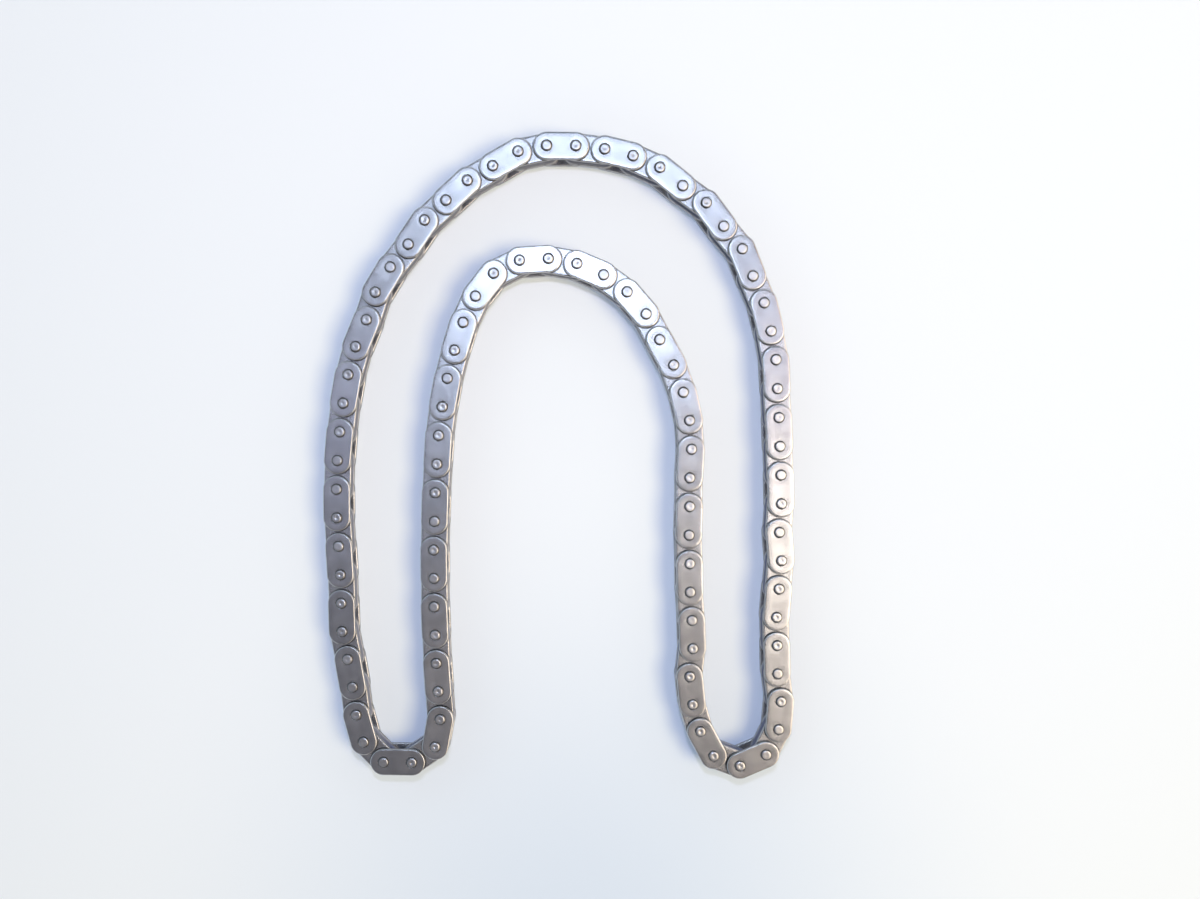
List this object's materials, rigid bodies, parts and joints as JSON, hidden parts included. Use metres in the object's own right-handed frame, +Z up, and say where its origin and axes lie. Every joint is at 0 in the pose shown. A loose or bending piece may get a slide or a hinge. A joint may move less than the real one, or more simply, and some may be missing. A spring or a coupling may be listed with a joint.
{
  "type": "timing chain",
  "caption": "Endless bush-type timing chain of small pitch lying on its side, bent into a horseshoe, with riveted pins, paired link plates and pivots that turn.",
  "frame": {"origin": "below the middle of the box round the loop, on the floor plane that the lower pin ends rest on", "axes": "+Z up along the pins, +Y from the two tight turns towards the arch, +X to the right seen from above"},
  "size_m": [0.1052, 0.1426, 0.0082],
  "materials": {
    "outer_plates": "bright tumbled steel with fine grain along the link",
    "inner_plates": "tumbled steel, slightly darker",
    "pins": "ground steel, bright rim, riveted ends",
    "bushes": "ground steel"
  },
  "bodies": {
    "link_01": {"outer_link_01_upper_plate": "outer_plates", "outer_link_01_lower_plate": "outer_plates", "outer_link_01_left_pin": "pins", "outer_link_01_right_pin": "pins"},
    "link_02": {"inner_link_02_upper_plate": "inner_plates", "inner_link_02_lower_plate": "inner_plates", "inner_link_02_left_bush": "bushes", "inner_link_02_right_bush": "bushes"},
    "links_03_04": {"links_03_04": "outer_plates"},
    "links_05_06": {"links_05_06": "outer_plates"},
    "links_07_08": {"links_07_08": "outer_plates"},
    "links_09_10": {"links_09_10": "outer_plates"},
    "links_11_12": {"links_11_12": "outer_plates"},
    "links_13_14": {"links_13_14": "outer_plates"},
    "links_15_16": {"links_15_16": "outer_plates"},
    "links_17_18": {"links_17_18": "outer_plates"},
    "links_19_20": {"links_19_20": "outer_plates"},
    "links_21_22": {"links_21_22": "outer_plates"},
    "links_23_24": {"links_23_24": "outer_plates"},
    "outer_link_25": {"outer_link_25": "outer_plates"},
    "inner_link_26": {"inner_link_26": "inner_plates"},
    "outer_link_27": {"outer_link_27": "outer_plates"},
    "inner_link_28": {"inner_link_28": "inner_plates"},
    "outer_link_29": {"outer_link_29": "outer_plates"},
    "inner_link_30": {"inner_link_30": "inner_plates"},
    "links_31_32": {"links_31_32": "outer_plates"},
    "links_33_34": {"links_33_34": "outer_plates"},
    "links_35_36": {"links_35_36": "outer_plates"},
    "links_37_38": {"links_37_38": "outer_plates"},
    "links_39_40": {"links_39_40": "outer_plates"},
    "links_41_42": {"links_41_42": "outer_plates"},
    "links_43_44": {"links_43_44": "outer_plates"},
    "links_45_46": {"links_45_46": "outer_plates"},
    "links_47_48": {"links_47_48": "outer_plates"},
    "links_49_50": {"links_49_50": "outer_plates"},
    "links_51_52": {"links_51_52": "outer_plates"},
    "links_53_54": {"links_53_54": "outer_plates"},
    "links_55_56": {"links_55_56": "outer_plates"},
    "links_57_58": {"links_57_58": "outer_plates"},
    "links_59_60": {"links_59_60": "outer_plates"},
    "links_61_62": {"links_61_62": "outer_plates"},
    "links_63_64": {"links_63_64": "outer_plates"},
    "links_65_66": {"links_65_66": "outer_plates"},
    "outer_link_67": {"outer_link_67": "outer_plates"},
    "inner_link_68": {"inner_link_68": "inner_plates"},
    "outer_link_69": {"outer_link_69": "outer_plates"},
    "inner_link_70": {"inner_link_70": "inner_plates"},
    "outer_link_71": {"outer_link_71": "outer_plates"},
    "inner_link_72": {"inner_link_72": "inner_plates"},
    "links_73_74": {"links_73_74": "outer_plates"},
    "links_75_76": {"links_75_76": "outer_plates"},
    "links_77_78": {"links_77_78": "outer_plates"},
    "links_79_80": {"links_79_80": "outer_plates"},
    "links_81_82": {"links_81_82": "outer_plates"},
    "links_83_84": {"links_83_84": "outer_plates"},
    "links_85_86": {"links_85_86": "outer_plates"},
    "links_87_88": {"links_87_88": "outer_plates"},
    "links_89_90": {"links_89_90": "outer_plates"},
    "links_91_92": {"links_91_92": "outer_plates"},
    "links_93_94": {"links_93_94": "outer_plates"}
  },
  "joints": [
    {"name": "right_sway", "type": "hinge", "parent": "link_01", "child": "link_02", "pos_m": [0.00267, 0.0683, 0.00409], "axis": [0, 0, 1], "range_deg": [-1.44, 1.44]},
    {"name": "pivot_02_03", "type": "hinge", "parent": "link_02", "child": "links_03_04", "pos_m": [0.00899, 0.06764, 0.00409], "axis": [0, 0, 1], "range_deg": [-2.27, 2.27]},
    {"name": "pivot_04_05", "type": "hinge", "parent": "links_03_04", "child": "links_05_06", "pos_m": [0.02104, 0.06377, 0.00409], "axis": [0, 0, 1], "range_deg": [-3.12, 3.12]},
    {"name": "pivot_06_07", "type": "hinge", "parent": "links_05_06", "child": "links_07_08", "pos_m": [0.03129, 0.05629, 0.00409], "axis": [0, 0, 1], "range_deg": [-2.79, 2.79]},
    {"name": "pivot_08_09", "type": "hinge", "parent": "links_07_08", "child": "links_09_10", "pos_m": [0.03929, 0.04643, 0.00409], "axis": [0, 0, 1], "range_deg": [-2.5, 2.5]},
    {"name": "pivot_10_11", "type": "hinge", "parent": "links_09_10", "child": "links_11_12", "pos_m": [0.04429, 0.03475, 0.00409], "axis": [0, 0, 1], "range_deg": [-2.02, 2.02]},
    {"name": "pivot_12_13", "type": "hinge", "parent": "links_11_12", "child": "links_13_14", "pos_m": [0.04712, 0.02238, 0.00409], "axis": [0, 0, 1], "range_deg": [-1.78, 1.78]},
    {"name": "pivot_14_15", "type": "hinge", "parent": "links_13_14", "child": "links_15_16", "pos_m": [0.048, 0.00971, 0.00409], "axis": [0, 0, 1], "range_deg": [-0.78, 0.78]},
    {"name": "pivot_16_17", "type": "hinge", "parent": "links_15_16", "child": "links_17_18", "pos_m": [0.04868, -0.00297, 0.00409], "axis": [0, 0, 1], "range_deg": [-0.447, 0.447]},
    {"name": "pivot_18_19", "type": "hinge", "parent": "links_17_18", "child": "links_19_20", "pos_m": [0.04859, -0.01566, 0.00409], "axis": [0, 0, 1], "range_deg": [-1.41, 1.41]},
    {"name": "pivot_20_21", "type": "hinge", "parent": "links_19_20", "child": "links_21_22", "pos_m": [0.04874, -0.02832, 0.00409], "axis": [0, 0, 1], "range_deg": [-4.08, 4.08]},
    {"name": "pivot_22_23", "type": "hinge", "parent": "links_21_22", "child": "links_23_24", "pos_m": [0.04854, -0.041, 0.00409], "axis": [0, 0, 1], "range_deg": [-8.5, 8.5]},
    {"name": "pivot_24_25", "type": "hinge", "parent": "links_23_24", "child": "outer_link_25", "pos_m": [0.04967, -0.05363, 0.00409], "axis": [0, 0, 1], "range_deg": [-3.17, 3.17]},
    {"name": "pivot_25_26", "type": "hinge", "parent": "outer_link_25", "child": "inner_link_26", "pos_m": [0.04923, -0.05997, 0.00409], "axis": [0, 0, 1], "range_deg": [-2.92, 2.92]},
    {"name": "pivot_26_27", "type": "hinge", "parent": "inner_link_26", "child": "outer_link_27", "pos_m": [0.04655, -0.06572, 0.00409], "axis": [0, 0, 1], "range_deg": [-4.12, 4.12]},
    {"name": "pivot_27_28", "type": "hinge", "parent": "outer_link_27", "child": "inner_link_28", "pos_m": [0.04074, -0.0683, 0.00409], "axis": [0, 0, 1], "range_deg": [-4.2, 4.2]},
    {"name": "pivot_28_29", "type": "hinge", "parent": "inner_link_28", "child": "outer_link_29", "pos_m": [0.03478, -0.06611, 0.00409], "axis": [0, 0, 1], "range_deg": [-3.93, 3.93]},
    {"name": "pivot_29_30", "type": "hinge", "parent": "outer_link_29", "child": "inner_link_30", "pos_m": [0.03172, -0.06055, 0.00409], "axis": [0, 0, 1], "range_deg": [-5.44, 5.44]},
    {"name": "pivot_30_31", "type": "hinge", "parent": "inner_link_30", "child": "links_31_32", "pos_m": [0.02989, -0.05447, 0.00409], "axis": [0, 0, 1], "range_deg": [-1.17, 1.17]},
    {"name": "pivot_32_33", "type": "hinge", "parent": "links_31_32", "child": "links_33_34", "pos_m": [0.02975, -0.04184, 0.00409], "axis": [0, 0, 1], "range_deg": [-0.99, 0.99]},
    {"name": "pivot_34_35", "type": "hinge", "parent": "links_33_34", "child": "links_35_36", "pos_m": [0.02897, -0.02916, 0.00409], "axis": [0, 0, 1], "range_deg": [-0.491, 0.491]},
    {"name": "pivot_36_37", "type": "hinge", "parent": "links_35_36", "child": "links_37_38", "pos_m": [0.02852, -0.01647, 0.00409], "axis": [0, 0, 1], "range_deg": [-1.16, 1.16]},
    {"name": "pivot_38_39", "type": "hinge", "parent": "links_37_38", "child": "links_39_40", "pos_m": [0.02853, -0.00377, 0.00409], "axis": [0, 0, 1], "range_deg": [-1.42, 1.42]},
    {"name": "pivot_40_41", "type": "hinge", "parent": "links_39_40", "child": "links_41_42", "pos_m": [0.02831, 0.0089, 0.00409], "axis": [0, 0, 1], "range_deg": [-1.22, 1.22]},
    {"name": "pivot_42_43", "type": "hinge", "parent": "links_41_42", "child": "links_43_44", "pos_m": [0.0246, 0.02102, 0.00409], "axis": [0, 0, 1], "range_deg": [-2.55, 2.55]},
    {"name": "pivot_44_45", "type": "hinge", "parent": "links_43_44", "child": "links_45_46", "pos_m": [0.01842, 0.03212, 0.00409], "axis": [0, 0, 1], "range_deg": [-3.19, 3.19]},
    {"name": "pivot_46_47", "type": "hinge", "parent": "links_45_46", "child": "links_47_48", "pos_m": [0.00902, 0.04053, 0.00409], "axis": [0, 0, 1], "range_deg": [-3.4, 3.4]},
    {"name": "pivot_94_01", "type": "hinge", "parent": "link_01", "child": "links_93_94", "pos_m": [-0.00368, 0.0683, 0.00409], "axis": [0, 0, 1], "range_deg": [-0.447, 0.447]},
    {"name": "pivot_92_93", "type": "hinge", "parent": "links_93_94", "child": "links_91_92", "pos_m": [-0.01539, 0.06382, 0.00409], "axis": [0, 0, 1], "range_deg": [-0.56, 0.56]},
    {"name": "left_sway", "type": "hinge", "parent": "links_91_92", "child": "links_89_90", "pos_m": [-0.02556, 0.05635, 0.00409], "axis": [0, 0, 1], "range_deg": [-2.93, 2.93]},
    {"name": "pivot_88_89", "type": "hinge", "parent": "links_89_90", "child": "links_87_88", "pos_m": [-0.03379, 0.04678, 0.00409], "axis": [0, 0, 1], "range_deg": [-3.71, 3.71]},
    {"name": "pivot_86_87", "type": "hinge", "parent": "links_87_88", "child": "links_85_86", "pos_m": [-0.04101, 0.03636, 0.00409], "axis": [0, 0, 1], "range_deg": [-2.79, 2.79]},
    {"name": "pivot_84_85", "type": "hinge", "parent": "links_85_86", "child": "links_83_84", "pos_m": [-0.04538, 0.02445, 0.00409], "axis": [0, 0, 1], "range_deg": [-1.88, 1.88]},
    {"name": "pivot_82_83", "type": "hinge", "parent": "links_83_84", "child": "links_81_82", "pos_m": [-0.04815, 0.01206, 0.00409], "axis": [0, 0, 1], "range_deg": [-1.34, 1.34]},
    {"name": "pivot_80_81", "type": "hinge", "parent": "links_81_82", "child": "links_79_80", "pos_m": [-0.04947, -0.00057, 0.00409], "axis": [0, 0, 1], "range_deg": [-0.81, 0.81]},
    {"name": "pivot_78_79", "type": "hinge", "parent": "links_79_80", "child": "links_77_78", "pos_m": [-0.04964, -0.01326, 0.00409], "axis": [0, 0, 1], "range_deg": [-0.446, 0.446]},
    {"name": "pivot_76_77", "type": "hinge", "parent": "links_77_78", "child": "links_75_76", "pos_m": [-0.04889, -0.02594, 0.00409], "axis": [0, 0, 1], "range_deg": [-1.42, 1.42]},
    {"name": "pivot_74_75", "type": "hinge", "parent": "links_75_76", "child": "links_73_74", "pos_m": [-0.04853, -0.03864, 0.00409], "axis": [0, 0, 1], "range_deg": [-2.97, 2.97]},
    {"name": "pivot_72_73", "type": "hinge", "parent": "links_73_74", "child": "inner_link_72", "pos_m": [-0.04625, -0.05113, 0.00409], "axis": [0, 0, 1], "range_deg": [-4.77, 4.77]},
    {"name": "pivot_71_72", "type": "hinge", "parent": "inner_link_72", "child": "outer_link_71", "pos_m": [-0.04547, -0.05743, 0.00409], "axis": [0, 0, 1], "range_deg": [-5.4, 5.4]},
    {"name": "pivot_70_71", "type": "hinge", "parent": "outer_link_71", "child": "inner_link_70", "pos_m": [-0.0438, -0.06356, 0.00409], "axis": [0, 0, 1], "range_deg": [-2.74, 2.74]},
    {"name": "pivot_69_70", "type": "hinge", "parent": "inner_link_70", "child": "outer_link_69", "pos_m": [-0.03936, -0.0681, 0.00409], "axis": [0, 0, 1], "range_deg": [-3.1, 3.1]},
    {"name": "pivot_68_69", "type": "hinge", "parent": "outer_link_69", "child": "inner_link_68", "pos_m": [-0.03301, -0.06815, 0.00409], "axis": [0, 0, 1], "range_deg": [-3.86, 3.86]},
    {"name": "pivot_67_68", "type": "hinge", "parent": "inner_link_68", "child": "outer_link_67", "pos_m": [-0.02779, -0.06453, 0.00409], "axis": [0, 0, 1], "range_deg": [-3.48, 3.48]},
    {"name": "pivot_66_67", "type": "hinge", "parent": "outer_link_67", "child": "links_65_66", "pos_m": [-0.02666, -0.05828, 0.00409], "axis": [0, 0, 1], "range_deg": [-3.28, 3.28]},
    {"name": "pivot_64_65", "type": "hinge", "parent": "links_65_66", "child": "links_63_64", "pos_m": [-0.02755, -0.04561, 0.00409], "axis": [0, 0, 1], "range_deg": [-1.78, 1.78]},
    {"name": "pivot_62_63", "type": "hinge", "parent": "links_63_64", "child": "links_61_62", "pos_m": [-0.02805, -0.03292, 0.00409], "axis": [0, 0, 1], "range_deg": [-1.06, 1.06]},
    {"name": "pivot_60_61", "type": "hinge", "parent": "links_61_62", "child": "links_59_60", "pos_m": [-0.02814, -0.02022, 0.00409], "axis": [0, 0, 1], "range_deg": [-0.448, 0.448]},
    {"name": "pivot_58_59", "type": "hinge", "parent": "links_59_60", "child": "links_57_58", "pos_m": [-0.02782, -0.00753, 0.00409], "axis": [0, 0, 1], "range_deg": [-0.61, 0.61]},
    {"name": "pivot_56_57", "type": "hinge", "parent": "links_57_58", "child": "links_55_56", "pos_m": [-0.02709, 0.00515, 0.00409], "axis": [0, 0, 1], "range_deg": [-1.62, 1.62]},
    {"name": "pivot_54_55", "type": "hinge", "parent": "links_55_56", "child": "links_53_54", "pos_m": [-0.02517, 0.0177, 0.00409], "axis": [0, 0, 1], "range_deg": [-2.39, 2.39]},
    {"name": "pivot_52_53", "type": "hinge", "parent": "links_53_54", "child": "links_51_52", "pos_m": [-0.02175, 0.02992, 0.00409], "axis": [0, 0, 1], "range_deg": [-3.14, 3.14]},
    {"name": "pivot_50_51", "type": "hinge", "parent": "links_51_52", "child": "links_49_50", "pos_m": [-0.01513, 0.04067, 0.00409], "axis": [0, 0, 1], "range_deg": [-4.26, 4.26]}
  ],
  "couplings": [
    {"joint": "pivot_02_03", "follows": "right_sway", "ratio": 1.5773},
    {"joint": "pivot_04_05", "follows": "right_sway", "ratio": 2.1635},
    {"joint": "pivot_06_07", "follows": "right_sway", "ratio": 1.9344},
    {"joint": "pivot_08_09", "follows": "right_sway", "ratio": 1.7369},
    {"joint": "pivot_10_11", "follows": "right_sway", "ratio": 1.4021},
    {"joint": "pivot_12_13", "follows": "right_sway", "ratio": 1.2387},
    {"joint": "pivot_14_15", "follows": "right_sway", "ratio": 0.54388},
    {"joint": "pivot_16_17", "follows": "right_sway", "ratio": 0.30995},
    {"joint": "pivot_18_19", "follows": "right_sway", "ratio": -0.97702},
    {"joint": "pivot_20_21", "follows": "right_sway", "ratio": -2.8336},
    {"joint": "pivot_22_23", "follows": "right_sway", "ratio": -5.9055},
    {"joint": "pivot_24_25", "follows": "right_sway", "ratio": -2.2002},
    {"joint": "pivot_25_26", "follows": "right_sway", "ratio": -2.0294},
    {"joint": "pivot_26_27", "follows": "right_sway", "ratio": 2.8614},
    {"joint": "pivot_27_28", "follows": "right_sway", "ratio": 2.9151},
    {"joint": "pivot_28_29", "follows": "right_sway", "ratio": 2.7312},
    {"joint": "pivot_29_30", "follows": "right_sway", "ratio": 3.7803},
    {"joint": "pivot_30_31", "follows": "right_sway", "ratio": 0.81109},
    {"joint": "pivot_32_33", "follows": "right_sway", "ratio": 0.68574},
    {"joint": "pivot_34_35", "follows": "right_sway", "ratio": -0.34073},
    {"joint": "pivot_36_37", "follows": "right_sway", "ratio": -0.80372},
    {"joint": "pivot_38_39", "follows": "right_sway", "ratio": -0.98867},
    {"joint": "pivot_40_41", "follows": "right_sway", "ratio": -0.84452},
    {"joint": "pivot_42_43", "follows": "right_sway", "ratio": -1.7692},
    {"joint": "pivot_44_45", "follows": "right_sway", "ratio": -2.2136},
    {"joint": "pivot_46_47", "follows": "right_sway", "ratio": -2.359},
    {"joint": "pivot_94_01", "follows": "left_sway", "ratio": 0.15252},
    {"joint": "pivot_92_93", "follows": "left_sway", "ratio": 0.19164},
    {"joint": "pivot_88_89", "follows": "left_sway", "ratio": 1.2678},
    {"joint": "pivot_86_87", "follows": "left_sway", "ratio": 0.9509},
    {"joint": "pivot_84_85", "follows": "left_sway", "ratio": 0.63985},
    {"joint": "pivot_82_83", "follows": "left_sway", "ratio": 0.45699},
    {"joint": "pivot_80_81", "follows": "left_sway", "ratio": 0.27533},
    {"joint": "pivot_78_79", "follows": "left_sway", "ratio": 0.15213},
    {"joint": "pivot_76_77", "follows": "left_sway", "ratio": -0.48463},
    {"joint": "pivot_74_75", "follows": "left_sway", "ratio": -1.0128},
    {"joint": "pivot_72_73", "follows": "left_sway", "ratio": -1.6266},
    {"joint": "pivot_71_72", "follows": "left_sway", "ratio": -1.843},
    {"joint": "pivot_70_71", "follows": "left_sway", "ratio": -0.93553},
    {"joint": "pivot_69_70", "follows": "left_sway", "ratio": 1.0574},
    {"joint": "pivot_68_69", "follows": "left_sway", "ratio": 1.3173},
    {"joint": "pivot_67_68", "follows": "left_sway", "ratio": 1.188},
    {"joint": "pivot_66_67", "follows": "left_sway", "ratio": 1.1179},
    {"joint": "pivot_64_65", "follows": "left_sway", "ratio": 0.60647},
    {"joint": "pivot_62_63", "follows": "left_sway", "ratio": 0.36203},
    {"joint": "pivot_60_61", "follows": "left_sway", "ratio": 0.15276},
    {"joint": "pivot_58_59", "follows": "left_sway", "ratio": -0.20878},
    {"joint": "pivot_56_57", "follows": "left_sway", "ratio": -0.55402},
    {"joint": "pivot_54_55", "follows": "left_sway", "ratio": -0.81429},
    {"joint": "pivot_52_53", "follows": "left_sway", "ratio": -1.0706},
    {"joint": "pivot_50_51", "follows": "left_sway", "ratio": -1.4539}
  ]
}
